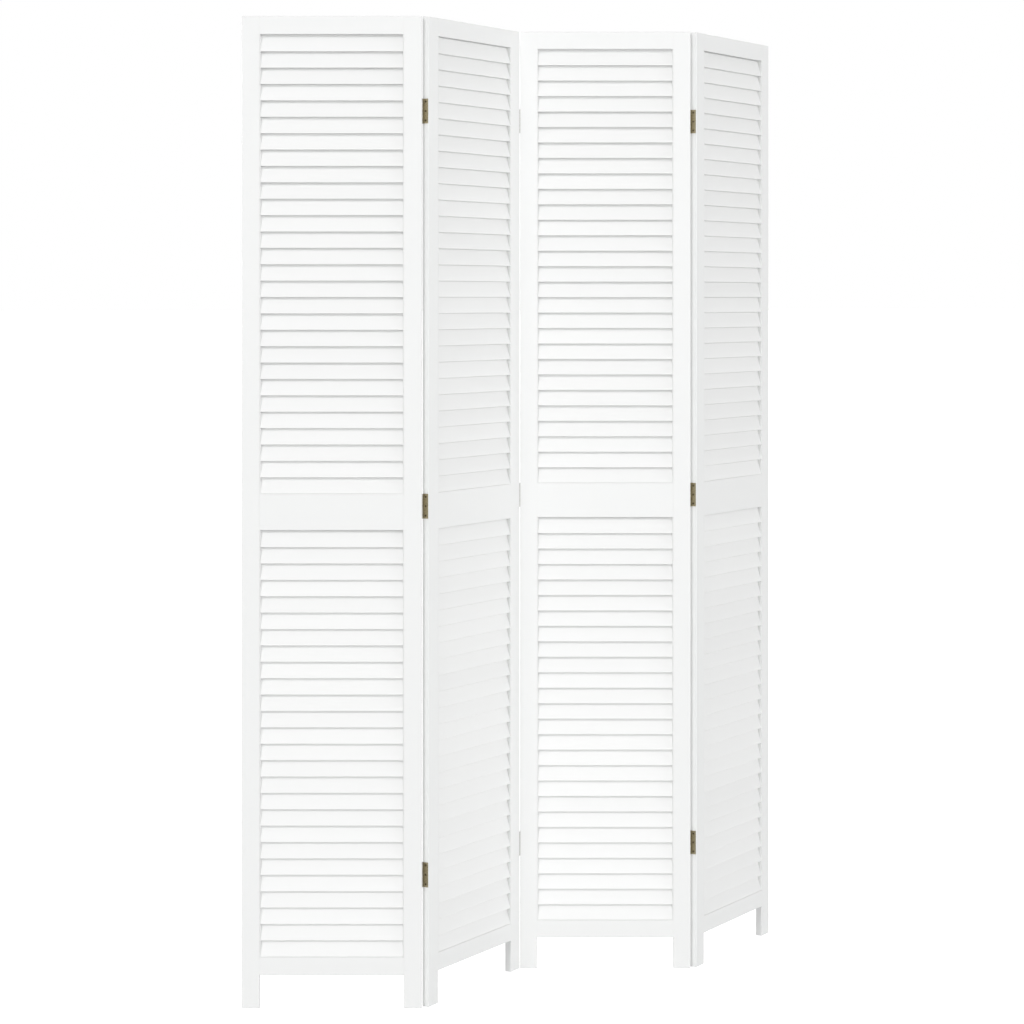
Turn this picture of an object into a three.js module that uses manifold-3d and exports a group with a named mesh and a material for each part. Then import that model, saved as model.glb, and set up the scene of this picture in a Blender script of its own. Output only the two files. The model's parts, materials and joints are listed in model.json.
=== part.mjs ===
// A folding room divider: four louvred wooden panels on three rows of butt hinges, standing in a zigzag.
// Millimetres. +Z is up, +X runs along the row of panels and -Y is the front.
// The origin is on the floor, in the middle of the footprint.
import * as THREE from "three";
import { mergeVertices } from "three/addons/utils/BufferGeometryUtils.js";
import Module from "manifold-3d";

const wasm = await Module();
wasm.setup();

// Driving dimensions of the panels.
const PANEL_COUNT = 4;
const PANEL_WIDTH = 400;
const PANEL_HEIGHT = 2200;
const PANEL_THICKNESS = 16;
const STILE_WIDTH = 40;
const FOOT_HEIGHT = 73; // the stiles' clear length below the bottom rail
const BOTTOM_RAIL = 40;
const MIDDLE_RAIL = 80;
const TOP_RAIL = 40;
const LOWER_OPENING = 947; // between the bottom rail and the middle rail
const ARRIS = 1.2; // rounding of the panel's outer edges
const ARRIS_STEPS = 2;

// Rail joints.
const TENON_LENGTH = 18;
const TENON_THICKNESS = 6;
const TENON_SHOULDER = 8; // from the rail's edge to the tenon's
const JOINT_GAP = 0.1; // glue line round a tenon and at a rail's shoulder

// Louvre slats. A slat leans back as it rises, and its lower edge, at the front, is cut level.
const UPPER_SLATS = 28;
const LOWER_SLATS = 26;
const SLAT_PITCH = 36.34;
const SLAT_WIDTH = 38;
const SLAT_THICKNESS = 5;
const SLAT_LEAN = 15; // degrees from upright
const SLAT_FOOT = 0.1; // from a rail's top edge to the lowest slat
const BATTEN_THICKNESS = 2; // the slats' ends are glued into an upright batten beside each stile
const BATTEN_WIDTH = 15.2;
const BATTEN_HOUSING = 0.5; // how far a slat's end is let into its batten

// Folds and hinges.
const FOLD_AT_REST = 59.5; // degrees each panel is turned from its neighbour
const PANEL_GAP = 0.8; // between two stiles' end faces when the screen is flat
const PIN_OFFSET = 0.4; // from a panel's face out to the pin's axis
const HINGES = { bottom: 293, middle: 1112, top: 1990 }; // centre heights
const HINGE_LENGTH = 55;
const LEAF_WIDTH = 15; // from the pin's axis
const LEAF_THICKNESS = 0.8;
const LEAF_SPACING = 0.3; // between the two leaves of a closed hinge
const LEAF_SEAT_GAP = 0.2;
const KNUCKLE_RADIUS = 1.25;
const KNUCKLE_CLEARANCE = 0.3;
const KNUCKLE_COUNT = 5;
const KNUCKLE_SIDES = 8;
const PIN_RADIUS = 0.6;
const PIN_CLEARANCE = 0.1;
const PIN_HEAD = 0.6; // how far the pin stands out of the end knuckles
const SCREW_SPACING = 21;
const SCREW_HOLE_RADIUS = 1.6;
const SCREW_SIDES = 6;
const SCREW_SETBACK = 8.6; // from the pin's axis

// Overshoot of a cutting solid past the face it cuts.
const OVER = 1;

// Values that follow from the dimensions above.
const OPENING_WIDTH = PANEL_WIDTH - 2 * STILE_WIDTH;
const LOWER_OPENING_Z = FOOT_HEIGHT + BOTTOM_RAIL;
const MIDDLE_RAIL_Z = LOWER_OPENING_Z + LOWER_OPENING;
const UPPER_OPENING_Z = MIDDLE_RAIL_Z + MIDDLE_RAIL;
const TOP_RAIL_Z = PANEL_HEIGHT - TOP_RAIL;
const PIN_Y = PANEL_THICKNESS / 2 + PIN_OFFSET; // from the middle of a panel's thickness
const RAILS = [
  { name: "bottom_rail", z: FOOT_HEIGHT, height: BOTTOM_RAIL },
  { name: "middle_rail", z: MIDDLE_RAIL_Z, height: MIDDLE_RAIL },
  { name: "top_rail", z: TOP_RAIL_Z, height: TOP_RAIL },
];
const BANKS = [
  { name: "lower_louvres", z: LOWER_OPENING_Z, top: MIDDLE_RAIL_Z, slats: LOWER_SLATS },
  { name: "upper_louvres", z: UPPER_OPENING_Z, top: TOP_RAIL_Z, slats: UPPER_SLATS },
];

const PAINT = new THREE.MeshStandardMaterial({ color: 0xf4f4f2, roughness: 0.5, metalness: 0 });
const SLAT_PAINT = new THREE.MeshStandardMaterial({ color: 0xf7f7f6, roughness: 0.5, metalness: 0 });
const BRASS = new THREE.MeshStandardMaterial({ color: 0x8f8560, roughness: 0.45, metalness: 0.8 });
const STEEL = new THREE.MeshStandardMaterial({ color: 0xb8b8b4, roughness: 0.35, metalness: 1 });

// A three.js geometry as a solid that can be joined and cut.
function toSolid(geometry) {
  const bare = geometry.clone();
  bare.deleteAttribute("normal");
  bare.deleteAttribute("uv");
  const merged = mergeVertices(bare);
  return new wasm.Manifold(
    new wasm.Mesh({
      numProp: 3,
      vertProperties: merged.attributes.position.array,
      triVerts: new Uint32Array(merged.index.array),
    }),
  );
}

// A solid as a named mesh with one material.
function toMesh(name, solid, material) {
  const { numProp, numVert, vertProperties, triVerts } = solid.getMesh();
  const positions = new Float32Array(numVert * 3);
  for (let i = 0; i < numVert; i++)
    positions.set(vertProperties.subarray(i * numProp, i * numProp + 3), i * 3);
  const geometry = new THREE.BufferGeometry();
  geometry.setAttribute("position", new THREE.BufferAttribute(positions, 3));
  geometry.setIndex(new THREE.BufferAttribute(triVerts, 1));
  geometry.computeVertexNormals();
  const mesh = new THREE.Mesh(geometry, material);
  mesh.name = name;
  return mesh;
}

// A box between two opposite corners.
function box([x0, y0, z0], [x1, y1, z1]) {
  const geometry = new THREE.BoxGeometry(x1 - x0, y1 - y0, z1 - z0);
  geometry.translate((x0 + x1) / 2, (y0 + y1) / 2, (z0 + z1) / 2);
  return toSolid(geometry);
}

// An upright cylinder on the line x, y.
function post(x, y, z0, z1, radius, sides) {
  const geometry = new THREE.CylinderGeometry(radius, radius, z1 - z0, sides);
  geometry.rotateX(Math.PI / 2);
  geometry.translate(x, y, (z0 + z1) / 2);
  return toSolid(geometry);
}

// The whole panel's outer form in one slab: a rectangle with a notch between the feet, and eased edges.
// x starts at the panel's left edge, y at the middle of its thickness, z at the floor.
function panelSlab() {
  const right = PANEL_WIDTH;
  const inner = PANEL_WIDTH - STILE_WIDTH;
  const outline = new THREE.Shape();
  outline.moveTo(0, 0);
  outline.lineTo(STILE_WIDTH, 0);
  outline.lineTo(STILE_WIDTH, FOOT_HEIGHT);
  outline.lineTo(inner, FOOT_HEIGHT);
  outline.lineTo(inner, 0);
  outline.lineTo(right, 0);
  outline.lineTo(right, PANEL_HEIGHT);
  outline.lineTo(0, PANEL_HEIGHT);
  outline.closePath();
  const geometry = new THREE.ExtrudeGeometry(outline, {
    depth: PANEL_THICKNESS - 2 * ARRIS,
    bevelEnabled: true,
    bevelThickness: ARRIS,
    bevelSize: ARRIS,
    bevelOffset: -ARRIS,
    bevelSegments: ARRIS_STEPS,
  });
  geometry.rotateX(Math.PI / 2);
  geometry.translate(0, PANEL_THICKNESS / 2 - ARRIS, 0);
  return toSolid(geometry);
}

// The rails' mortises in the inner edge of the left stile.
function stileMortises() {
  const edge = STILE_WIDTH + OVER;
  const floor = STILE_WIDTH - TENON_LENGTH - JOINT_GAP;
  const half = TENON_THICKNESS / 2 + JOINT_GAP;
  const reach = TENON_SHOULDER - JOINT_GAP;
  return RAILS.map(({ z, height }) =>
    box([floor, -half, z + reach], [edge, half, z + height - reach]),
  );
}

// The seats of one row of hinges in the outer edge of the left stile.
// side is 1 where the pins are behind the panel, and -1 where they are in front.
function hingeSeats(side) {
  const axisX = -PANEL_GAP / 2;
  const floorX = axisX + LEAF_SPACING / 2 + LEAF_THICKNESS + LEAF_SEAT_GAP;
  const innerY = side * (PIN_Y - LEAF_WIDTH - LEAF_SEAT_GAP);
  const outerY = side * (PANEL_THICKNESS / 2 + OVER);
  const half = HINGE_LENGTH / 2 + LEAF_SEAT_GAP;
  const knuckleRoom = KNUCKLE_RADIUS + KNUCKLE_CLEARANCE;
  return Object.values(HINGES).flatMap((z) => [
    box(
      [-OVER, Math.min(innerY, outerY), z - half],
      [floorX, Math.max(innerY, outerY), z + half],
    ),
    post(axisX, side * PIN_Y, z - half - PIN_HEAD, z + half + PIN_HEAD, knuckleRoom, KNUCKLE_SIDES),
  ]);
}

// A left stile. hingeSide is 0 on a free edge. A right stile is its mirror image.
function leftStile(slab, hingeSide) {
  const half = PANEL_THICKNESS / 2 + OVER;
  const bar = box([-OVER, -half, -OVER], [STILE_WIDTH, half, PANEL_HEIGHT + OVER]);
  const cuts = hingeSide ? [...stileMortises(), ...hingeSeats(hingeSide)] : stileMortises();
  return cuts.reduce((stile, cut) => stile.subtract(cut), slab.intersect(bar));
}

// The mirror image of a left-hand piece, for the panel's right-hand side.
function mirrored(solid) {
  return solid.mirror([1, 0, 0]).translate([PANEL_WIDTH, 0, 0]);
}

function rail(slab, { z, height }) {
  const left = STILE_WIDTH + JOINT_GAP;
  const right = PANEL_WIDTH - left;
  const half = PANEL_THICKNESS / 2 + OVER;
  const body = slab.intersect(box([left, -half, z], [right, half, z + height]));
  const tenonX = STILE_WIDTH - TENON_LENGTH;
  const tenonY = TENON_THICKNESS / 2;
  const tenon = box(
    [tenonX, -tenonY, z + TENON_SHOULDER],
    [PANEL_WIDTH - tenonX, tenonY, z + height - TENON_SHOULDER],
  );
  return body.add(tenon);
}

// One slat, with its level lower edge at z = 0.
function slat() {
  const lean = THREE.MathUtils.degToRad(SLAT_LEAN);
  const length = OPENING_WIDTH - 2 * (JOINT_GAP + BATTEN_THICKNESS - BATTEN_HOUSING);
  const geometry = new THREE.BoxGeometry(length, SLAT_THICKNESS, SLAT_WIDTH);
  const corners = geometry.attributes.position;
  const drop = SLAT_THICKNESS * Math.tan(lean);
  for (let i = 0; i < corners.count; i++)
    if (corners.getY(i) < 0 && corners.getZ(i) < 0) corners.setZ(i, corners.getZ(i) - drop);
  geometry.rotateX(-lean);
  geometry.computeBoundingBox();
  const { min, max } = geometry.boundingBox;
  geometry.translate(PANEL_WIDTH / 2, -(min.y + max.y) / 2, -min.z);
  return toSolid(geometry);
}

// A bank of slats, glued at both ends into the battens that stand against the stiles.
function louvreBank({ z, top, slats }) {
  const one = slat();
  const near = STILE_WIDTH + JOINT_GAP;
  const half = BATTEN_WIDTH / 2;
  const batten = box(
    [near, -half, z + JOINT_GAP],
    [near + BATTEN_THICKNESS, half, top - JOINT_GAP],
  );
  let bank = batten.add(mirrored(batten));
  for (let i = 0; i < slats; i++)
    bank = bank.add(one.translate([0, 0, z + SLAT_FOOT + i * SLAT_PITCH]));
  return bank;
}

// One leaf of a hinge, about its pin at x = 0, y = 0, with z = 0 at mid-length.
// The leaf lies on the +X side and reaches towards -Y. first is 0 for the leaf with the end knuckles.
function hingeLeaf(first) {
  const half = HINGE_LENGTH / 2;
  const near = LEAF_SPACING / 2;
  const far = near + LEAF_THICKNESS;
  const clear = KNUCKLE_RADIUS + KNUCKLE_CLEARANCE;
  const step = HINGE_LENGTH / KNUCKLE_COUNT;
  const trim = KNUCKLE_CLEARANCE / 2;
  let leaf = box([near, -LEAF_WIDTH, -half], [far, 0, half]);
  leaf = leaf.subtract(post(0, 0, -half - OVER, half + OVER, clear, KNUCKLE_SIDES));
  for (let i = first; i < KNUCKLE_COUNT; i += 2) {
    const z0 = -half + i * step + (i ? trim : 0);
    const z1 = -half + (i + 1) * step - (i < KNUCKLE_COUNT - 1 ? trim : 0);
    const web = box([near, -clear - OVER, z0], [far, 0, z1]);
    leaf = leaf.add(post(0, 0, z0, z1, KNUCKLE_RADIUS, KNUCKLE_SIDES)).add(web);
  }
  leaf = leaf.subtract(
    post(0, 0, -half - OVER, half + OVER, PIN_RADIUS + PIN_CLEARANCE, KNUCKLE_SIDES),
  );
  for (const z of [-SCREW_SPACING, 0, SCREW_SPACING]) leaf = leaf.subtract(screwHole(z, far));
  return leaf;
}

// A cutter for a screw hole through a leaf, at height z.
function screwHole(z, far) {
  const geometry = new THREE.CylinderGeometry(
    SCREW_HOLE_RADIUS,
    SCREW_HOLE_RADIUS,
    far + 2 * OVER,
    SCREW_SIDES,
  );
  geometry.rotateZ(Math.PI / 2);
  geometry.translate(far / 2, -SCREW_SETBACK, z);
  return toSolid(geometry);
}

function hingePin() {
  const half = HINGE_LENGTH / 2 + PIN_HEAD;
  return post(0, 0, -half, half, PIN_RADIUS, KNUCKLE_SIDES);
}

// The panels' headings alternate either side of the row's direction.
const heading = (k) => THREE.MathUtils.degToRad(((k % 2 ? -1 : 1) * FOLD_AT_REST) / 2);

// The pins of a fold after an odd panel are behind it, and after an even panel in front.
const pinSide = (k) => (k % 2 ? 1 : -1);

function buildPanel(k, slab) {
  const panel = new THREE.Group();
  const leftSide = k > 1 ? pinSide(k - 1) : 0;
  const rightSide = k < PANEL_COUNT ? pinSide(k) : 0;
  const add = (name, solid, material) => panel.add(toMesh(`panel_${k}_${name}`, solid, material));
  add("left_stile", leftStile(slab, leftSide), PAINT);
  add("right_stile", mirrored(leftStile(slab, rightSide)), PAINT);
  for (const shape of RAILS) add(shape.name, rail(slab, shape), PAINT);
  for (const bank of BANKS) add(bank.name, louvreBank(bank), SLAT_PAINT);
  return panel;
}

// The three hinges of the fold after panel k, in panel k's own axes.
// The left leaves keep to panel k, so the group that turns with panel k + 1 is returned for the others.
function buildFold(k, panel) {
  const side = pinSide(k);
  const fold = new THREE.Group();
  fold.position.set(PANEL_WIDTH + PANEL_GAP / 2, side * PIN_Y, 0);
  const next = new THREE.Group();
  next.rotation.z = heading(k + 1) - heading(k);
  fold.add(next);
  panel.add(fold);
  const flip = (leaf) => (side > 0 ? leaf : leaf.mirror([0, 1, 0]));
  const rightLeaf = flip(hingeLeaf(1));
  const leftLeaf = flip(hingeLeaf(0).mirror([1, 0, 0]));
  for (const [height, z] of Object.entries(HINGES)) {
    const name = `hinge_${k}_${k + 1}_${height}`;
    const pieces = [
      [fold, toMesh(`${name}_left_leaf`, leftLeaf, BRASS)],
      [fold, toMesh(`${name}_pin`, hingePin(), STEEL)],
      [next, toMesh(`${name}_right_leaf`, rightLeaf, BRASS)],
    ];
    for (const [group, mesh] of pieces) {
      mesh.position.z = z;
      group.add(mesh);
    }
  }
  return next;
}

// Panel k + 1 hangs on the turning group of the fold after panel k, as the real screen does.
function buildScreen() {
  const slab = panelSlab();
  const screen = new THREE.Group();
  let parent = screen;
  for (let k = 1; k <= PANEL_COUNT; k++) {
    const panel = buildPanel(k, slab);
    if (k > 1) panel.position.set(PANEL_GAP / 2, -pinSide(k - 1) * PIN_Y, 0);
    else panel.rotation.z = heading(1);
    parent.add(panel);
    if (k < PANEL_COUNT) parent = buildFold(k, panel);
  }
  return screen;
}

const screen = buildScreen();
screen.updateMatrixWorld(true);
const bounds = new THREE.Box3().setFromObject(screen, true);
const middle = bounds.getCenter(new THREE.Vector3());
screen.position.set(-middle.x, -middle.y, -bounds.min.z);

const part = new THREE.Group();
part.name = "folding_screen";
part.add(screen);

export default part;
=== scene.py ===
"""A folding room divider of four louvred panels, finished around its fixed frame.

The frame gives every place and outer size. The stiles and rails are kept and painted here.
The slats and the hinges' fine work are modelled here, and so are all finishes and the stage.
"""

import json
import math
import random

import bpy
from mathutils import Matrix, Vector


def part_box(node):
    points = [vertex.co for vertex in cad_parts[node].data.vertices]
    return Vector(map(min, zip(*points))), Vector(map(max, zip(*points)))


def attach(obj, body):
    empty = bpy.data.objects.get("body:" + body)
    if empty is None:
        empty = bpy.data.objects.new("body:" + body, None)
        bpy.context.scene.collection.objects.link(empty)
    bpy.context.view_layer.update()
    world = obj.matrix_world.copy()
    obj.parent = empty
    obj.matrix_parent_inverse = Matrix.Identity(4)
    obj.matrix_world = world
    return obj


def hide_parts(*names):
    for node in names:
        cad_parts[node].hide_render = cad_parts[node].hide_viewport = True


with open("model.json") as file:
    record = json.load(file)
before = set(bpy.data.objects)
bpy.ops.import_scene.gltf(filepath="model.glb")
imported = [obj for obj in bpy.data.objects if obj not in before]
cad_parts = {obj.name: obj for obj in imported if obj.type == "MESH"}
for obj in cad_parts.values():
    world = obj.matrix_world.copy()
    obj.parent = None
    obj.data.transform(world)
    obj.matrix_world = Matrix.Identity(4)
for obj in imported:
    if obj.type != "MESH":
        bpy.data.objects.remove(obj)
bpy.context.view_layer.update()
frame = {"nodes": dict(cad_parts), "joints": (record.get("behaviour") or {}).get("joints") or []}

bl_info = {
    "name": "Folding Louvred Screen",
    "version": (1, 0, 0),
    "blender": (4, 5, 0),
    "location": "View3D > Sidebar > Screen",
    "description": "Builds the slats, hinges, finishes and stage of a folding louvred screen",
    "category": "Object",
}

PANELS = (1, 2, 3, 4)
FOLDS = (1, 2, 3)
HINGE_ROWS = ("bottom", "middle", "top")
BANKS = (("lower", "bottom_rail", "middle_rail"), ("upper", "middle_rail", "top_rail"))
RAILS = ("bottom_rail", "middle_rail", "top_rail")
STILES = ("left_stile", "right_stile")
SIDES = ("left", "right")
HALF_TURN = math.pi
QUARTER_TURN = math.pi / 2
MM = 0.001
SMOOTH_ANGLE = math.radians(40)
TONE_SEED = 7
PAINT_IOR = 1.46

# The camera's frame, in mm.
SENSOR_WIDTH = 24
SENSOR_HEIGHT = 36

# In metres. The floor is so wide that hardly any light from below the horizon gets past its edge.
LIGHT_DISTANCE = 8
FLOOR_WIDTH = 600

# A hinge leaf's screws: their places about its middle, and how far each is turned, in radians.
SCREW_ROWS = (-1, 0, 1)
SCREW_TWISTS = (0.4, 1.9, 1.1)

# The height of a screw head's rim and the width of its point, as shares of the radii beside them.
HEAD_RIM_SHARE = 0.1
POINT_SHARE = 0.05

# How far wear and dust change a finish where they are strongest.
THIN_PAINT_SHARE = 0.5
DUST_SHARE = 0.35
DUST_ROUGHNESS = 0.3
BRIGHT_EDGE_SHARE = 0.6
RUBBED_TARNISH_SHARE = 0.3

# The first fold's flat stop is as far from rest as the panels are turned from each other.
FOLD_AT_REST = math.radians(-frame["joints"][0]["range_deg"][0])


# Settings that a user would change.


def length_setting(name, description, millimetres):
    return bpy.props.FloatProperty(
        name=name,
        description=description,
        default=millimetres * MM,
        min=0,
        precision=5,
        unit="LENGTH",
    )


def colour_setting(name, description, colour):
    return bpy.props.FloatVectorProperty(
        name=name, description=description, default=colour, min=0, max=1, subtype="COLOR"
    )


def share_setting(name, description, share):
    return bpy.props.FloatProperty(
        name=name, description=description, default=share, min=0, max=1, subtype="FACTOR"
    )


def angle_setting(name, description, degrees):
    return bpy.props.FloatProperty(
        name=name, description=description, default=math.radians(degrees), subtype="ANGLE"
    )


def light_setting(name, description, strength):
    return bpy.props.FloatProperty(name=name, description=description, default=strength, min=0)


class LouvreSettings(bpy.types.PropertyGroup):
    width: length_setting("Slat Width", "Width of a slat across its grain", 38)
    thickness: length_setting("Slat Thickness", "Thickness of a slat", 5)
    rounding: length_setting("Slat Rounding", "Radius of a slat's long edges", 1.2)
    pitch: length_setting("Slat Pitch", "Height from one slat to the next", 36.34)
    foot: length_setting("Slat Foot", "Gap between a rail and the slat above it", 0.1)
    lean: angle_setting("Slat Lean", "How far a slat leans back from upright", 15)
    batten_width: length_setting("Batten Width", "Width of the upright batten at the slats' ends", 15.2)
    batten_thickness: length_setting("Batten Thickness", "Thickness of that batten", 2)
    batten_rounding: length_setting("Batten Rounding", "Radius of the batten's long edges", 0.4)
    housing: length_setting("Housing", "How far a slat's end is let into its batten", 0.5)


class HingeSettings(bpy.types.PropertyGroup):
    leaf_width: length_setting("Leaf Width", "From the pin's axis to the leaf's edge", 15)
    leaf_thickness: length_setting("Leaf Thickness", "Thickness of a leaf", 0.8)
    leaf_spacing: length_setting("Leaf Spacing", "Gap between the leaves of a closed hinge", 0.3)
    leaf_rounding: length_setting("Leaf Rounding", "Radius of a leaf's corners", 1)
    knuckle_radius: length_setting("Knuckle Radius", "Outer radius of the knuckles", 1.25)
    knuckle_gap: length_setting("Knuckle Gap", "Clearance beside and round a knuckle", 0.3)
    knuckle_rounding: length_setting("Knuckle Rounding", "Radius of a knuckle's end edges", 0.2)
    pin_radius: length_setting("Pin Radius", "Radius of the pin", 0.6)
    pin_clearance: length_setting("Pin Clearance", "Gap between the pin and its bore", 0.1)
    pin_rounding: length_setting("Pin Rounding", "Radius of the pin's end edges", 0.25)
    screw_spacing: length_setting("Screw Spacing", "Height from one screw to the next", 21)
    screw_setback: length_setting("Screw Setback", "From the pin's axis to a screw's axis", 8.6)
    screw_head: length_setting("Screw Head Radius", "Radius of a countersunk head", 2.4)
    screw_shank: length_setting("Screw Shank Radius", "Radius of a screw's plain shank", 1)
    screw_thread: length_setting("Thread Radius", "Outer radius of the thread", 1.25)
    screw_root: length_setting("Thread Root Radius", "Inner radius of the thread", 0.85)
    screw_pitch: length_setting("Thread Pitch", "Distance from one turn of thread to the next", 0.9)
    screw_seat: length_setting("Screw Seat", "Gap round a head in its countersink", 0.15)
    recess_width: length_setting("Recess Width", "Width of the cross recess's arms", 0.5)
    recess_length: length_setting("Recess Length", "Length of the cross recess's arms", 2.6)
    recess_depth: length_setting("Recess Depth", "Depth of the cross recess", 0.6)
    knuckles: bpy.props.IntProperty(name="Knuckles", description="Knuckles on a hinge", default=5, min=3)
    thread_turns: bpy.props.IntProperty(
        name="Thread Turns", description="Turns of thread on a screw", default=8, min=1
    )


class FinishSettings(bpy.types.PropertyGroup):
    frame_white: colour_setting("Frame Paint", "Paint of the stiles and rails", (0.748, 0.754, 0.75))
    slat_white: colour_setting("Slat Paint", "Paint of the slats", (0.745, 0.749, 0.745))
    thin_paint: colour_setting("Thin Paint", "Paint where it is thin over an edge", (0.68, 0.67, 0.65))
    dust: colour_setting("Dust", "Dust that lies on upper faces", (0.66, 0.65, 0.63))
    brass: colour_setting("Brass", "Clean brass of the hinges", (0.525, 0.475, 0.34))
    # The screws' dark colour is partly their plating and partly painted shade. It stands in for the
    # shadow in and round the sunk screw heads.
    screw: colour_setting("Screw", "Dark plating of the screws", (0.2, 0.175, 0.125))
    patina: colour_setting("Patina", "Darkened brass", (0.325, 0.29, 0.205))
    steel: colour_setting("Steel", "Steel of the pins and of rubbed knuckles", (0.64, 0.645, 0.64))
    paint_roughness: share_setting("Paint Roughness", "Roughness of the paint", 0.42)
    tone_spread: share_setting("Tone Spread", "How much the slats differ in tone", 0.012)


class StageSettings(bpy.types.PropertyGroup):
    lens: bpy.props.FloatProperty(
        name="Lens", description="Focal length, in mm, on an upright frame 36 mm tall", default=94.1
    )
    drop: bpy.props.FloatProperty(
        name="Lens Shift", description="Lens shift, as a share of the frame's height", default=-0.2085
    )
    distance: length_setting("Distance", "From the first panel's face to the camera", 5935)
    sideways: length_setting("Sideways", "From the first panel's right edge to the camera", 200.3)
    eye_height: length_setting("Eye Height", "Height of the camera above the floor", 1573.5)
    sky: light_setting("Sky", "Strength of the even light all round", 0.54)
    floor: colour_setting("Floor", "Colour of the floor", (0.2, 0.2, 0.2))
    floor_light: light_setting("Floor Light", "Light that the floor sends to the screen", 0.34)
    floor_glow: light_setting("Floor Glow", "Light that the floor sends to the camera", 1.0)
    key: light_setting("Key Light", "Strength of the raised light on the left", 1.13)
    key_turn: angle_setting("Key Turn", "From the front round to the raised light on the left", -58)
    key_height: angle_setting("Key Height", "How high the raised light stands", 32)
    front: light_setting("Front Light", "Strength of the low light in front", 1.4)
    front_turn: angle_setting("Front Turn", "From the front round to the low light in front", -25)
    side: light_setting("Side Light", "Strength of the low light on the right", 1.82)
    side_turn: angle_setting("Side Turn", "From the front round to the low light on the right", 51)
    back: light_setting("Back Light", "Strength of the low light behind", 1.9)
    back_turn: angle_setting("Back Turn", "From the front round to the low light behind", 195)
    low_height: angle_setting("Low Height", "How high the low lights stand", 4)
    hard_spread: angle_setting("Hard Spread", "How wide the key and back lights look", 12)
    soft_spread: angle_setting("Soft Spread", "How wide the front and side lights look", 28)


SETTINGS = (
    ("louvres", LouvreSettings),
    ("hinges", HingeSettings),
    ("finishes", FinishSettings),
    ("stage", StageSettings),
)


# Places, worked out from the frame.


def heading(panel):
    """A panel's turn about +Z at rest. Odd panels run towards the front, and even ones to the back."""
    return (-1 if panel % 2 else 1) * FOLD_AT_REST / 2


def plan_size(node, turn):
    """Length and thickness, seen from above, of a straight upright piece turned by an angle."""
    low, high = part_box(node)
    run, depth = high.x - low.x, high.y - low.y
    cosine, sine = abs(math.cos(turn)), abs(math.sin(turn))
    scale = cosine * cosine - sine * sine
    return (run * cosine - depth * sine) / scale, (depth * cosine - run * sine) / scale


def panel_place(panel):
    """The panel's own axes: x along it from its middle, y to its back, and z up from the floor."""
    corners = [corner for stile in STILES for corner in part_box(f"panel_{panel}_{stile}")]
    middle = sum(corners, Vector()) / len(corners)
    middle.z = 0
    return Matrix.Translation(middle) @ Matrix.Rotation(heading(panel), 4, "Z")


def opening(panel, below, above):
    """The heights between two rails of a panel."""
    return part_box(f"panel_{panel}_{below}")[1].z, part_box(f"panel_{panel}_{above}")[0].z


def pin_place(fold, row):
    """The middle of a hinge pin."""
    x, y, _ = frame["joints"][fold - 1]["pos_m"]
    low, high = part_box(f"hinge_{fold}_{fold + 1}_{row}_pin")
    return Vector((x, y, (low.z + high.z) / 2))


def leaf_place(fold, row, side):
    """A leaf's own axes: z on the pin, the leaf on the +x side, reaching towards -y."""
    panel = fold if side == "left" else fold + 1
    pins_behind = fold % 2 == 1
    turns = {
        ("right", True): Matrix.Identity(4),
        ("left", True): Matrix.Rotation(HALF_TURN, 4, "Y"),
        ("right", False): Matrix.Rotation(HALF_TURN, 4, "X"),
        ("left", False): Matrix.Rotation(HALF_TURN, 4, "Z"),
    }
    turned = Matrix.Rotation(heading(panel), 4, "Z") @ turns[side, pins_behind]
    return Matrix.Translation(pin_place(fold, row)) @ turned


def setting(group):
    return getattr(bpy.context.scene, group)


# Modelling helpers.


def pick(*pieces):
    """Selects these pieces alone, with the first one active."""
    bpy.ops.object.select_all(action="DESELECT")
    for piece in pieces:
        piece.select_set(True)
    bpy.context.view_layer.objects.active = pieces[0]


def named(name):
    """The primitive that was added last, with its place in its mesh."""
    piece = bpy.context.active_object
    piece.name = piece.data.name = name
    bpy.ops.object.transform_apply(location=True, rotation=True, scale=True)
    return piece


def add_block(name, low, high):
    """A block between two opposite corners."""
    bpy.ops.object.select_all(action="DESELECT")
    low, high = Vector(low), Vector(high)
    bpy.ops.mesh.primitive_cube_add(size=1, location=(low + high) / 2, scale=high - low)
    return named(name)


def add_round(name, bottom, top, radius, top_radius=None, axis="Z", sides=32):
    """A cylinder, or a cone where top_radius is given, about an axis through the origin."""
    bpy.ops.object.select_all(action="DESELECT")
    middle = (bottom + top) / 2
    bpy.ops.mesh.primitive_cone_add(
        vertices=sides,
        radius1=radius,
        radius2=radius if top_radius is None else top_radius,
        depth=top - bottom,
        location=(0, 0, middle) if axis == "Z" else (middle, 0, 0),
        rotation=(0, 0, 0) if axis == "Z" else (0, QUARTER_TURN, 0),
    )
    return named(name)


def ease_edges(piece, chosen, radius, steps):
    """Rounds the edges for which chosen(start, end) is true."""
    pick(piece)
    mesh = piece.data
    for item in (*mesh.polygons, *mesh.vertices):
        item.select = False
    for edge in mesh.edges:
        edge.select = chosen(*(mesh.vertices[i].co for i in edge.vertices))
    bpy.ops.object.mode_set(mode="EDIT")
    bpy.ops.mesh.select_mode(type="EDGE")
    bpy.ops.mesh.bevel(offset=radius, segments=steps, affect="EDGES")
    bpy.ops.object.mode_set(mode="OBJECT")


def combine(piece, other, operation):
    """Joins another solid to a piece, or cuts it out of the piece, and throws the other away."""
    step = piece.modifiers.new("combine", "BOOLEAN")
    step.operation, step.object, step.solver = operation, other, "EXACT"
    pick(piece)
    bpy.ops.object.modifier_apply(modifier=step.name)
    discard(other)


def discard(*pieces):
    for piece in pieces:
        bpy.data.meshes.remove(piece.data)


def copied(piece, name, place):
    """A copy with a mesh of its own, which holds its place."""
    other = piece.copy()
    other.data = piece.data.copy()
    other.name = other.data.name = name
    other.data.transform(place)
    bpy.context.collection.objects.link(other)
    return other


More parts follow.
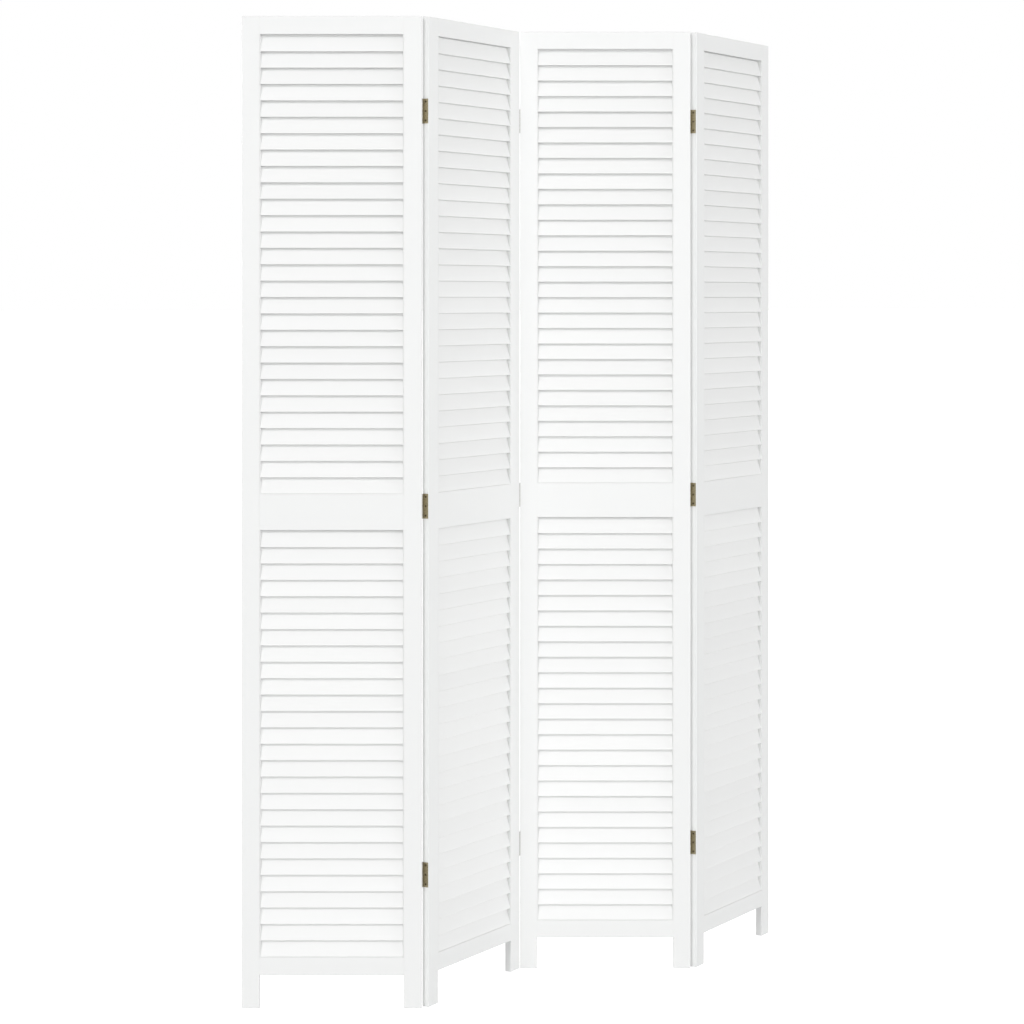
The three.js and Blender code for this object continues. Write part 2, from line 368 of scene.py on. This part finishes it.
def joined(pieces, name):
    """One piece from several."""
    pick(*pieces)
    if len(pieces) > 1:
        bpy.ops.object.join()
    whole = pieces[0]
    whole.name = whole.data.name = name
    return whole


def smooth(piece):
    """Smooth shading over the rounded edges, which leaves the flat faces flat."""
    pick(piece)
    bpy.ops.object.shade_smooth_by_angle(angle=SMOOTH_ANGLE)
    step = piece.modifiers.new("flat faces", "WEIGHTED_NORMAL")
    step.keep_sharp = True
    bpy.ops.object.modifier_apply(modifier=step.name)


def dress(piece, material):
    """Gives a piece this material alone."""
    piece.data.materials.clear()
    piece.data.materials.append(material)


def finish_piece(piece, material, body, node):
    """Gives a piece its smooth shading, its finish, its body and the node it stands for."""
    smooth(piece)
    dress(piece, material)
    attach(piece, body)
    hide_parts(node)


# Node helpers.

MIX_FACTOR, MIX_A, MIX_B, MIX_RESULT = 0, 6, 7, 2


def plug(tree, socket, value):
    """Feeds an input from another node's output, or sets it to a value."""
    if isinstance(value, bpy.types.NodeSocket):
        tree.links.new(value, socket)
    else:
        socket.default_value = value


def add_node(tree, kind, inputs=None, **options):
    node = tree.nodes.new(kind)
    for key, value in options.items():
        setattr(node, key, value)
    for key, value in (inputs or {}).items():
        plug(tree, node.inputs[key], value)
    return node


def calc(tree, operation, first, second=0.0, third=0.0, clamp=False):
    """The result of a sum on numbers."""
    node = add_node(tree, "ShaderNodeMath", operation=operation, use_clamp=clamp)
    for socket, value in zip(node.inputs, (first, second, third)):
        plug(tree, socket, value)
    return node.outputs[0]


def ramped(tree, value, low, high, to_low=0.0, to_high=1.0):
    """A number moved, with clamping, from one range to another."""
    inputs = {"Value": value, "From Min": low, "From Max": high, "To Min": to_low, "To Max": to_high}
    return add_node(tree, "ShaderNodeMapRange", inputs).outputs[0]


def mixed(tree, factor, first, second, blend="MIX"):
    """The mix of two colours."""
    node = add_node(tree, "ShaderNodeMix", data_type="RGBA", blend_type=blend)
    for index, value in ((MIX_FACTOR, factor), (MIX_A, first), (MIX_B, second)):
        plug(tree, node.inputs[index], value)
    return node.outputs[MIX_RESULT]


def centred(tree, value):
    """A number from 0 to 1, moved to lie about 0."""
    return calc(tree, "SUBTRACT", value, 0.5)


def noise(tree, vector, scale, detail=2.0, roughness=0.5):
    """Noise from 0 to 1 over the surface."""
    inputs = {"Vector": vector, "Scale": scale, "Detail": detail, "Roughness": roughness}
    return add_node(tree, "ShaderNodeTexNoise", inputs).outputs["Fac"]


def mapped(tree, vector, turn=(0, 0, 0), scale=(1, 1, 1)):
    """The surface's coordinates, turned and stretched."""
    inputs = {"Vector": vector, "Rotation": turn, "Scale": scale}
    return add_node(tree, "ShaderNodeMapping", inputs).outputs[0]


def by_ray(tree, for_light, for_camera):
    """One strength for the light that falls on the screen, and another for what the camera sees."""
    seen = add_node(tree, "ShaderNodeLightPath").outputs["Is Camera Ray"]
    return ramped(tree, seen, 0, 1, for_light, for_camera)


def new_group(name, inputs, outputs):
    """A shader node group, and the nodes that bring in its inputs and take its outputs."""
    tree = bpy.data.node_groups.new(name, "ShaderNodeTree")
    for label, kind, default in inputs:
        socket = tree.interface.new_socket(label, in_out="INPUT", socket_type=kind)
        if default is not None:
            socket.default_value = default
    for label, kind in outputs:
        tree.interface.new_socket(label, in_out="OUTPUT", socket_type=kind)
    return tree, tree.nodes.new("NodeGroupInput").outputs, tree.nodes.new("NodeGroupOutput").inputs


def add_group(tree, group, inputs=None):
    node = add_node(tree, "ShaderNodeGroup", node_tree=group)
    for key, value in (inputs or {}).items():
        plug(tree, node.inputs[key], value)
    return node.outputs


VECTOR, NUMBER = "NodeSocketVector", "NodeSocketFloat"


def paint_film_group():
    """Paint on wood: grain along x that shows through, orange peel, and slow clouds of tone."""
    tree, given, result = new_group(
        "paint_film",
        [
            ("Vector", VECTOR, None),
            ("Grain", NUMBER, 0.01),
            ("Cloud", NUMBER, 0.012),
            ("Roughness", NUMBER, 0.42),
        ],
        [("Tone", NUMBER), ("Roughness", NUMBER), ("Height", NUMBER)],
    )
    where = given["Vector"]
    streak_share, pore_share, peel_share, mottle_share = 0.4, 0.35, 0.45, 0.16
    streaks = noise(tree, mapped(tree, where, scale=(12, 300, 300)), scale=1, detail=5, roughness=0.62)
    pores = noise(tree, mapped(tree, where, scale=(60, 1500, 1500)), scale=1, detail=2)
    peel = noise(tree, where, scale=520, detail=2, roughness=0.4)
    cloud = noise(tree, where, scale=3.1, detail=3)
    mottle = noise(tree, where, scale=40, detail=3)
    grain_part = calc(tree, "MULTIPLY", centred(tree, streaks), given["Grain"])
    cloud_part = calc(tree, "MULTIPLY", centred(tree, cloud), given["Cloud"])
    plug(tree, result["Tone"], calc(tree, "ADD", calc(tree, "ADD", grain_part, cloud_part), 1.0))
    rough = calc(tree, "MULTIPLY_ADD", centred(tree, mottle), mottle_share, given["Roughness"])
    plug(tree, result["Roughness"], rough)
    grain_height = calc(tree, "MULTIPLY", streaks, streak_share)
    grain_height = calc(tree, "MULTIPLY_ADD", pores, pore_share, grain_height)
    plug(tree, result["Height"], calc(tree, "MULTIPLY_ADD", peel, peel_share, grain_height))
    return tree


def edge_wear_group():
    """1 on outer edges, broken up by noise, and 0 elsewhere."""
    tree, given, result = new_group(
        "edge_wear",
        [("Vector", VECTOR, None), ("Radius", NUMBER, 0.001), ("Breakup", NUMBER, 90.0)],
        [("Edge", NUMBER)],
    )
    rounded = add_node(tree, "ShaderNodeBevel", {"Radius": given["Radius"]}, samples=4)
    true_normal = add_node(tree, "ShaderNodeNewGeometry").outputs["Normal"]
    both = {0: rounded.outputs["Normal"], 1: true_normal}
    agreement = add_node(tree, "ShaderNodeVectorMath", both, operation="DOT_PRODUCT").outputs["Value"]
    turned = ramped(tree, calc(tree, "SUBTRACT", 1.0, agreement), low=0.02, high=0.2)
    flecks = noise(tree, given["Vector"], given["Breakup"], detail=4)
    broken = ramped(tree, flecks, low=0.35, high=0.7)
    plug(tree, result["Edge"], calc(tree, "MULTIPLY", turned, broken))
    return tree


def dust_group():
    """1 where dust lies, on faces that look up, and 0 on upright and lower faces."""
    tree, given, result = new_group("dust_lie", [("Vector", VECTOR, None)], [("Dust", NUMBER)])
    normal = add_node(tree, "ShaderNodeNewGeometry").outputs["Normal"]
    up = add_node(tree, "ShaderNodeSeparateXYZ", {"Vector": normal}).outputs["Z"]
    grit = noise(tree, given["Vector"], scale=60, detail=5, roughness=0.65)
    patches = ramped(tree, grit, low=0.3, high=0.75)
    lying = ramped(tree, up, low=0.5, high=0.95)
    plug(tree, result["Dust"], calc(tree, "MULTIPLY", lying, patches))
    return tree


def tarnish_group():
    """Old metal: blotches of tarnish, a rougher skin under them, and fine scratches."""
    tree, given, result = new_group(
        "tarnish",
        [("Vector", VECTOR, None), ("Roughness", NUMBER, 0.4)],
        [("Tarnish", NUMBER), ("Roughness", NUMBER), ("Height", NUMBER)],
    )
    where = given["Vector"]
    blotch_roughness, scratch_roughness, blotch_height = 0.18, 0.08, 0.3
    spots = noise(tree, where, scale=420, detail=6, roughness=0.68)
    blotches = ramped(tree, spots, low=0.38, high=0.66)
    scratches = noise(tree, mapped(tree, where, scale=(9000, 9000, 500)), scale=1, detail=2)
    plug(tree, result["Tarnish"], blotches)
    rough = calc(tree, "MULTIPLY_ADD", blotches, blotch_roughness, given["Roughness"])
    rough = calc(tree, "MULTIPLY_ADD", scratches, scratch_roughness, rough)
    plug(tree, result["Roughness"], rough)
    plug(tree, result["Height"], calc(tree, "MULTIPLY_ADD", blotches, blotch_height, scratches))
    return tree


GROUPS = {
    "paint_film": paint_film_group,
    "edge_wear": edge_wear_group,
    "dust_lie": dust_group,
    "tarnish": tarnish_group,
}


def shared(name):
    """A node group, made when it is first needed."""
    return bpy.data.node_groups.get(name) or GROUPS[name]()


# Materials.


def new_material(name):
    """An empty material: its tree, its shader and its object coordinates."""
    material = bpy.data.materials.new(name)
    material.use_nodes = True
    tree = material.node_tree
    where = add_node(tree, "ShaderNodeTexCoord").outputs["Object"]
    return material, tree, tree.nodes["Principled BSDF"], where


def opaque(colour):
    """A colour with its alpha."""
    return (*colour, 1)


def darkened(colour, share):
    """The same hue at a share of its brightness."""
    return [part * share for part in colour]


def set_bump(tree, shader, height, depth, strength):
    """Shades the surface as if this height stood on it."""
    inputs = {"Height": height, "Distance": depth, "Strength": strength}
    plug(tree, shader.inputs["Normal"], add_node(tree, "ShaderNodeBump", inputs).outputs[0])


def paint_material(name, colour, turn, attribute=None):
    """White paint on wood.

    turn brings the grain's direction to x, and attribute names each piece's own tone.
    """
    finish = setting("finishes")
    material, tree, shader, where = new_material(name)
    along = mapped(tree, where, turn)
    film = add_group(tree, shared("paint_film"), {"Vector": along, "Roughness": finish.paint_roughness})
    edge = add_group(tree, shared("edge_wear"), {"Vector": where, "Radius": 1.5 * MM})["Edge"]
    dust = add_group(tree, shared("dust_lie"), {"Vector": where})["Dust"]
    tone = film["Tone"]
    if attribute:
        own = add_node(tree, "ShaderNodeAttribute", attribute_name=attribute).outputs["Fac"]
        tone = calc(tree, "MULTIPLY", tone, own)
    toned = mixed(tree, 1.0, opaque(colour), tone, "MULTIPLY")
    thinned = calc(tree, "MULTIPLY", edge, THIN_PAINT_SHARE)
    thin = mixed(tree, thinned, toned, opaque(finish.thin_paint))
    dusted = calc(tree, "MULTIPLY", dust, DUST_SHARE)
    plug(tree, shader.inputs["Base Color"], mixed(tree, dusted, thin, opaque(finish.dust)))
    rough = calc(tree, "MULTIPLY_ADD", dust, DUST_ROUGHNESS, film["Roughness"])
    plug(tree, shader.inputs["Roughness"], rough)
    shader.inputs["IOR"].default_value = PAINT_IOR
    set_bump(tree, shader, film["Height"], depth=0.05 * MM, strength=0.35)
    return material


def metal_material(name, clean, tarnished, roughness, attribute=None):
    """Worn metal, brighter on its edges.

    attribute names how far the plating is rubbed through to steel.
    """
    finish = setting("finishes")
    material, tree, shader, where = new_material(name)
    skin = add_group(tree, shared("tarnish"), {"Vector": where, "Roughness": roughness})
    fine_wear = {"Vector": where, "Radius": 0.25 * MM, "Breakup": 700.0}
    edge = add_group(tree, shared("edge_wear"), fine_wear)["Edge"]
    aged = mixed(tree, skin["Tarnish"], opaque(clean), opaque(tarnished))
    brightened = calc(tree, "MULTIPLY", edge, BRIGHT_EDGE_SHARE)
    worn = mixed(tree, brightened, aged, opaque(clean))
    if attribute:
        rubbed = add_node(tree, "ShaderNodeAttribute", attribute_name=attribute).outputs["Fac"]
        patchy = calc(tree, "MULTIPLY_ADD", skin["Tarnish"], -RUBBED_TARNISH_SHARE, 1.0)
        worn = mixed(tree, calc(tree, "MULTIPLY", rubbed, patchy), worn, opaque(finish.steel))
    plug(tree, shader.inputs["Base Color"], worn)
    plug(tree, shader.inputs["Roughness"], skin["Roughness"])
    shader.inputs["Metallic"].default_value = 1.0
    set_bump(tree, shader, skin["Height"], depth=0.02 * MM, strength=0.3)
    return material


def floor_material():
    """A lit floor that looks white to the camera, so that it runs into the backdrop without an edge."""
    stage = setting("stage")
    material, tree, shader, where = new_material("studio_floor")
    scuffs = noise(tree, where, scale=8, detail=3)
    scuffs = ramped(tree, scuffs, low=0.3, high=0.7, to_low=0.97, to_high=1.0)
    plug(tree, shader.inputs["Base Color"], mixed(tree, 1.0, opaque(stage.floor), scuffs, "MULTIPLY"))
    shader.inputs["Roughness"].default_value = 0.95
    shader.inputs["Specular IOR Level"].default_value = 0.1
    shader.inputs["Emission Color"].default_value = (1, 1, 1, 1)
    plug(tree, shader.inputs["Emission Strength"], by_ray(tree, stage.floor_light, stage.floor_glow))
    return material


# Louvres.


def runs_along_x(start, end):
    return abs(start.x - end.x) > abs(start.y - end.y) + abs(start.z - end.z)


def runs_along_z(start, end):
    return abs(start.z - end.z) > abs(start.y - end.y) + abs(start.x - end.x)


def runs_across(start, end):
    return not runs_along_z(start, end)


def make_slat(length):
    """A slat along x that leans back as it rises, with its long edges rounded.

    Its lower edge is cut level and lies at z = 0.
    """
    louvre = setting("louvres")
    corner = Vector((length, louvre.thickness, louvre.width)) / 2
    slat = add_block("slat", -corner, corner)
    for vertex in slat.data.vertices:
        if vertex.co.y < 0 and vertex.co.z < 0:
            vertex.co.z -= louvre.thickness * math.tan(louvre.lean)
    ease_edges(slat, runs_along_x, louvre.rounding, steps=3)
    slat.data.transform(Matrix.Rotation(-louvre.lean, 4, "X"))
    places = [vertex.co for vertex in slat.data.vertices]
    back, front = max(place.y for place in places), min(place.y for place in places)
    lowest = min(place.z for place in places)
    slat.data.transform(Matrix.Translation((0, -(front + back) / 2, -lowest)))
    return slat


def make_batten(half_width, low, high):
    """The upright batten that stands on the +x side and holds the slats' ends."""
    louvre = setting("louvres")
    depth = louvre.batten_width / 2
    inner = half_width - louvre.batten_thickness
    batten = add_block("batten", (inner, -depth, low), (half_width, depth, high))
    ease_edges(batten, runs_along_z, louvre.batten_rounding, steps=2)
    return batten


def set_number(piece, name, value):
    """The same number at every point of a piece's mesh."""
    numbers = piece.data.attributes.new(name, "FLOAT", "POINT").data
    numbers.foreach_set("value", [value] * len(numbers))


def make_bank(panel, bank, below, above, tones):
    """All slats of one opening, with the battens at their ends."""
    louvre = setting("louvres")
    spread = setting("finishes").tone_spread
    node = f"panel_{panel}_{bank}_louvres"
    place = panel_place(panel)
    floor, ceiling = opening(panel, below, above)
    low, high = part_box(node)
    width, _ = plan_size(node, heading(panel))
    slat = make_slat(width - 2 * (louvre.batten_thickness - louvre.housing))
    pieces = []
    for i in range(round((ceiling - floor) / louvre.pitch)):
        lift = Matrix.Translation((0, 0, floor + louvre.foot + i * louvre.pitch))
        pieces.append(copied(slat, "slat_copy", place @ lift))
        set_number(pieces[-1], "own_tone", 1 + tones.uniform(-spread, spread))
    batten = make_batten(width / 2, low.z, high.z)
    for turn in (0, HALF_TURN):
        pieces.append(copied(batten, "batten_copy", place @ Matrix.Rotation(turn, 4, "Z")))
        set_number(pieces[-1], "own_tone", 1)
    discard(slat, batten)
    return joined(pieces, f"slats_{panel}_{bank}")


# Hinges.


def make_leaf(first):
    """A leaf about its pin on z.

    first is 0 for the leaf that holds the end knuckles, and 1 for the other.
    """
    hinge = setting("hinges")
    low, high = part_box("hinge_1_2_top_left_leaf")
    half = (high.z - low.z) / 2
    near = hinge.leaf_spacing / 2
    far = near + hinge.leaf_thickness
    room = hinge.knuckle_radius + hinge.knuckle_gap
    leaf = add_block("leaf", (near, -hinge.leaf_width, -half), (far, -room, half))

    def outer_corner(start, end):
        return runs_along_x(start, end) and start.y < -room - hinge.leaf_rounding

    ease_edges(leaf, outer_corner, hinge.leaf_rounding, steps=4)
    step = 2 * half / hinge.knuckles
    trim = hinge.knuckle_gap / 2
    for i in range(first, hinge.knuckles, 2):
        bottom = -half + i * step + (trim if i else 0)
        top = -half + (i + 1) * step - (trim if i < hinge.knuckles - 1 else 0)
        combine(leaf, add_block("web", (near, -room - trim, bottom), (far, 0, top)), "UNION")
        combine(leaf, make_knuckle(bottom, top), "UNION")
    reach = half + hinge.knuckle_gap
    bore = add_round("bore", -reach, reach, hinge.pin_radius + hinge.pin_clearance, sides=24)
    combine(leaf, bore, "DIFFERENCE")
    for row in SCREW_ROWS:
        combine(leaf, make_countersink(near, far, row * hinge.screw_spacing), "DIFFERENCE")
    mark_rubbed(leaf)
    return leaf


def make_knuckle(bottom, top):
    """A knuckle's outer barrel, with eased ends."""
    hinge = setting("hinges")
    knuckle = add_round("knuckle", bottom, top, hinge.knuckle_radius)
    ease_edges(knuckle, runs_across, hinge.knuckle_rounding, steps=2)
    return knuckle


def make_countersink(near, far, height):
    """The cone that a screw hole takes out of a leaf, wide on the side that faces the other leaf."""
    hinge = setting("hinges")
    wide = hinge.screw_head + hinge.screw_seat
    narrow = hinge.screw_shank + hinge.screw_seat
    slope = (narrow - wide) / (far - near)
    over = hinge.knuckle_gap
    cone = add_round(
        "countersink", near - over, far + over, wide - slope * over, narrow + slope * over, axis="X"
    )
    cone.data.transform(Matrix.Translation((0, -hinge.screw_setback, height)))
    return cone


def mark_rubbed(leaf):
    """Marks the knuckles, where turning has rubbed the plating away."""
    hinge = setting("hinges")
    edge = hinge.knuckle_radius + hinge.knuckle_gap / 2
    numbers = leaf.data.attributes.new("rubbed", "FLOAT", "POINT").data
    for number, vertex in zip(numbers, leaf.data.vertices):
        number.value = float(math.hypot(vertex.co.x, vertex.co.y) < edge)


def make_pin():
    """A pin with domed ends, about z."""
    hinge = setting("hinges")
    low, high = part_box("hinge_1_2_top_pin")
    half = (high.z - low.z) / 2
    pin = add_round("pin", -half, half, hinge.pin_radius, sides=24)
    ease_edges(pin, runs_across, hinge.pin_rounding, steps=3)
    return pin


def grow(radius, steps):
    """Extrudes the selected round face along z and scales it, once for each rise and new radius."""
    for rise, wanted in steps:
        bpy.ops.mesh.extrude_region_move(TRANSFORM_OT_translate={"value": (0, 0, rise)})
        bpy.ops.transform.resize(value=(wanted / radius, wanted / radius, 1))
        radius = wanted


def make_screw():
    """A countersunk wood screw whose head's face is at z = 0 and whose point is up."""
    hinge = setting("hinges")
    half_pitch = hinge.screw_pitch / 2
    rim = (HEAD_RIM_SHARE * hinge.screw_head, hinge.screw_head)
    cone = (hinge.leaf_thickness, hinge.screw_shank)
    shank = (hinge.screw_pitch, hinge.screw_shank)
    turn = [(half_pitch, hinge.screw_root), (half_pitch, hinge.screw_thread)]
    taper = (hinge.screw_pitch, hinge.screw_root)
    point = (2 * hinge.screw_pitch, POINT_SHARE * hinge.screw_root)
    bpy.ops.object.select_all(action="DESELECT")
    bpy.ops.mesh.primitive_circle_add(vertices=20, radius=hinge.screw_head, fill_type="NGON")
    screw = named("screw")
    bpy.ops.object.mode_set(mode="EDIT")
    bpy.ops.mesh.select_all(action="SELECT")
    grow(hinge.screw_head, [rim, cone, shank, *turn * hinge.thread_turns, taper, point])
    bpy.ops.mesh.select_all(action="SELECT")
    bpy.ops.mesh.normals_make_consistent(inside=False)
    bpy.ops.object.mode_set(mode="OBJECT")
    long, wide, deep = hinge.recess_length / 2, hinge.recess_width / 2, hinge.recess_depth
    for x, y in ((long, wide), (wide, long)):
        combine(screw, add_block("recess", (-x, -y, -deep), (x, y, deep)), "DIFFERENCE")
    return screw


def make_screws(screw):
    """The three screws of a leaf, in the leaf's own axes, with their heads just under its face."""
    hinge = setting("hinges")
    inward = Matrix.Rotation(QUARTER_TURN, 4, "Y")
    sunk = hinge.leaf_spacing / 2 + hinge.screw_seat / 2
    pieces = []
    for row, twist in zip(SCREW_ROWS, SCREW_TWISTS):
        place = Matrix.Translation((sunk, -hinge.screw_setback, row * hinge.screw_spacing))
        pieces.append(copied(screw, "screw_copy", place @ inward @ Matrix.Rotation(twist, 4, "Z")))
    return joined(pieces, "screws")


# Stage.


def set_camera():
    """A level camera square to the first panel, with its lens shifted down."""
    stage = setting("stage")
    turn = heading(1)
    node = "panel_1_right_stile"
    width, thickness = plan_size(node, turn)
    middle = sum(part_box(node), Vector()) / 2
    middle.z = stage.eye_height
    offset = Vector((width / 2 + stage.sideways, -thickness / 2 - stage.distance, 0))
    offset.rotate(Matrix.Rotation(turn, 3, "Z"))
    data = bpy.data.cameras.new("camera")
    data.sensor_fit = "VERTICAL"
    data.sensor_width, data.sensor_height = SENSOR_WIDTH, SENSOR_HEIGHT
    data.lens = stage.lens
    data.shift_y = stage.drop
    camera = bpy.data.objects.new("camera", data)
    bpy.context.collection.objects.link(camera)
    camera.location = middle + offset
    camera.rotation_euler = (QUARTER_TURN, 0, turn)
    bpy.context.scene.camera = camera


def set_floor():
    """A wide, level floor at z = 0."""
    bpy.ops.object.select_all(action="DESELECT")
    bpy.ops.mesh.primitive_plane_add(size=FLOOR_WIDTH)
    floor = bpy.context.active_object
    floor.name = "floor"
    floor.data.materials.append(floor_material())


def add_light(name, turn, height, spread, strength):
    """A soft light that falls evenly from one direction, turned from the front and raised."""
    towards = Vector((0, -1, 0))
    towards.rotate(Matrix.Rotation(turn, 3, "Z") @ Matrix.Rotation(-height, 3, "X"))
    data = bpy.data.lights.new(name, "SUN")
    data.angle = spread
    data.energy = strength
    light = bpy.data.objects.new(name, data)
    bpy.context.collection.objects.link(light)
    light.location = towards * LIGHT_DISTANCE
    light.rotation_euler = (-towards).to_track_quat("-Z", "Y").to_euler()


def set_lights():
    """Even light all round, a raised light on the left, and low ones in front, right and behind."""
    stage = setting("stage")
    world = bpy.data.worlds.new("studio")
    world.use_nodes = True
    tree = world.node_tree
    backdrop = tree.nodes["Background"].inputs
    backdrop["Color"].default_value = (1, 1, 1, 1)
    plug(tree, backdrop["Strength"], by_ray(tree, stage.sky, 1))
    bpy.context.scene.world = world
    bpy.context.scene.view_settings.view_transform = "Standard"
    add_light("key", stage.key_turn, stage.key_height, stage.hard_spread, stage.key)
    add_light("back", stage.back_turn, stage.low_height, stage.hard_spread, stage.back)
    add_light("front", stage.front_turn, stage.low_height, stage.soft_spread, stage.front)
    add_light("side", stage.side_turn, stage.low_height, stage.soft_spread, stage.side)


# Operators.


class SCREEN_OT_stage(bpy.types.Operator):
    """Set the camera, floor and lights"""

    bl_idname = "folding_screen.stage"
    bl_label = "Set Stage"

    def execute(self, context):
        set_camera()
        set_floor()
        set_lights()
        return {"FINISHED"}


class SCREEN_OT_frames(bpy.types.Operator):
    """Paint the stiles and rails of every panel"""

    bl_idname = "folding_screen.frames"
    bl_label = "Paint Frames"

    def execute(self, context):
        white = setting("finishes").frame_white
        upright = paint_material("frame_paint_upright", white, (0, QUARTER_TURN, 0))
        level = [
            paint_material(f"frame_paint_level_{i}", white, (0, 0, -heading(i))) for i in (1, 2)
        ]
        for panel in PANELS:
            for stile in STILES:
                dress(frame["nodes"][f"panel_{panel}_{stile}"], upright)
            for rail in RAILS:
                dress(frame["nodes"][f"panel_{panel}_{rail}"], level[(panel - 1) % 2])
        return {"FINISHED"}


class SCREEN_OT_louvres(bpy.types.Operator):
    """Build and paint every bank of slats"""

    bl_idname = "folding_screen.louvres"
    bl_label = "Build Louvres"

    def execute(self, context):
        white = setting("finishes").slat_white
        tones = random.Random(TONE_SEED)
        paints = [
            paint_material(f"slat_paint_{i}", white, (0, 0, -heading(i)), "own_tone") for i in (1, 2)
        ]
        for panel in PANELS:
            for bank, below, above in BANKS:
                slats = make_bank(panel, bank, below, above, tones)
                node = f"panel_{panel}_{bank}_louvres"
                paint = paints[(panel - 1) % 2]
                finish_piece(slats, paint, f"panel_{panel}", node)
        return {"FINISHED"}


class SCREEN_OT_hinge_leaves(bpy.types.Operator):
    """Build both leaves of every hinge, and their screws"""

    bl_idname = "folding_screen.hinge_leaves"
    bl_label = "Build Hinge Leaves"

    def execute(self, context):
        finish = setting("finishes")
        stained = darkened(finish.screw, share=0.5)
        brass = metal_material(
            "old_brass", finish.brass, finish.patina, roughness=0.38, attribute="rubbed"
        )
        # The screws' material is partly dark plating and partly painted shade for the shadow in and
        # round the sunk heads.
        plating = metal_material("screw_plating_and_shade", finish.screw, stained, roughness=0.32)
        leaves = {"left": make_leaf(0), "right": make_leaf(1)}
        screw = make_screw()
        screws = make_screws(screw)
        for fold in FOLDS:
            for row in HINGE_ROWS:
                for side in SIDES:
                    place = leaf_place(fold, row, side)
                    body = f"panel_{fold if side == 'left' else fold + 1}"
                    tag = f"{fold}_{fold + 1}_{row}"
                    node = f"hinge_{tag}_{side}_leaf"
                    leaf = copied(leaves[side], f"leaf_{tag}_{side}", place)
                    finish_piece(leaf, brass, body, node)
                    own_screws = copied(screws, f"screws_{tag}_{side}", place)
                    finish_piece(own_screws, plating, body, node)
        discard(*leaves.values(), screw, screws)
        return {"FINISHED"}


class SCREEN_OT_hinge_pins(bpy.types.Operator):
    """Build the pin of every hinge"""

    bl_idname = "folding_screen.hinge_pins"
    bl_label = "Build Hinge Pins"

    def execute(self, context):
        steel = setting("finishes").steel
        dull = darkened(steel, share=0.6)
        bright = metal_material("pin_steel", steel, dull, roughness=0.3)
        pin = make_pin()
        for fold in FOLDS:
            for row in HINGE_ROWS:
                tag = f"{fold}_{fold + 1}_{row}"
                own = copied(pin, f"pin_{tag}", Matrix.Translation(pin_place(fold, row)))
                finish_piece(own, bright, f"panel_{fold}", f"hinge_{tag}_pin")
        discard(pin)
        return {"FINISHED"}


OPERATORS = (
    SCREEN_OT_stage,
    SCREEN_OT_frames,
    SCREEN_OT_louvres,
    SCREEN_OT_hinge_leaves,
    SCREEN_OT_hinge_pins,
)


class SCREEN_PT_build(bpy.types.Panel):
    """The screen's operators, in the order in which they run"""

    bl_idname = "SCREEN_PT_build"
    bl_label = "Folding Louvred Screen"
    bl_space_type = "VIEW_3D"
    bl_region_type = "UI"
    bl_category = "Screen"

    def draw(self, context):
        for operator in OPERATORS:
            self.layout.operator(operator.bl_idname)


CLASSES = (*(group for _, group in SETTINGS), *OPERATORS, SCREEN_PT_build)


def register():
    for item in CLASSES:
        bpy.utils.register_class(item)
    for name, group in SETTINGS:
        setattr(bpy.types.Scene, name, bpy.props.PointerProperty(type=group))


def unregister():
    for name, _ in SETTINGS:
        delattr(bpy.types.Scene, name)
    for item in reversed(CLASSES):
        bpy.utils.unregister_class(item)


def main():
    register()
    bpy.ops.folding_screen.stage()
    bpy.ops.folding_screen.frames()
    bpy.ops.folding_screen.louvres()
    bpy.ops.folding_screen.hinge_leaves()
    bpy.ops.folding_screen.hinge_pins()


if __name__ == "__main__":
    main()
